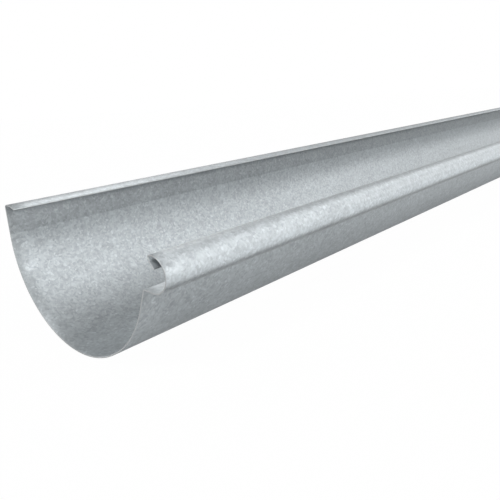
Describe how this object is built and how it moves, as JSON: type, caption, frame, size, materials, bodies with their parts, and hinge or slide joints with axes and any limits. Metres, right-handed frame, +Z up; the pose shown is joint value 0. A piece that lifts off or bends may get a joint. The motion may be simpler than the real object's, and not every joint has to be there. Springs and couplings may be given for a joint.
{
  "type": "half-round gutter section",
  "caption": "Half-round eaves gutter section of galvanised steel sheet, with a rolled bead along the front and an inturned hem along the back.",
  "frame": {"origin": "on the lowest line of the trough's underside, at mid length", "axes": "+X along the gutter, the beaded front edge towards -Y, the hemmed back wall towards +Y and upright, +Z up"},
  "size_m": [2, 0.1459, 0.0842],
  "materials": {
    "galvanised_steel": "hot-dip galvanised, fine soft spangle, satin"
  },
  "bodies": {
    "root": {"gutter_channel": "galvanised_steel"}
  },
  "joints": []
}
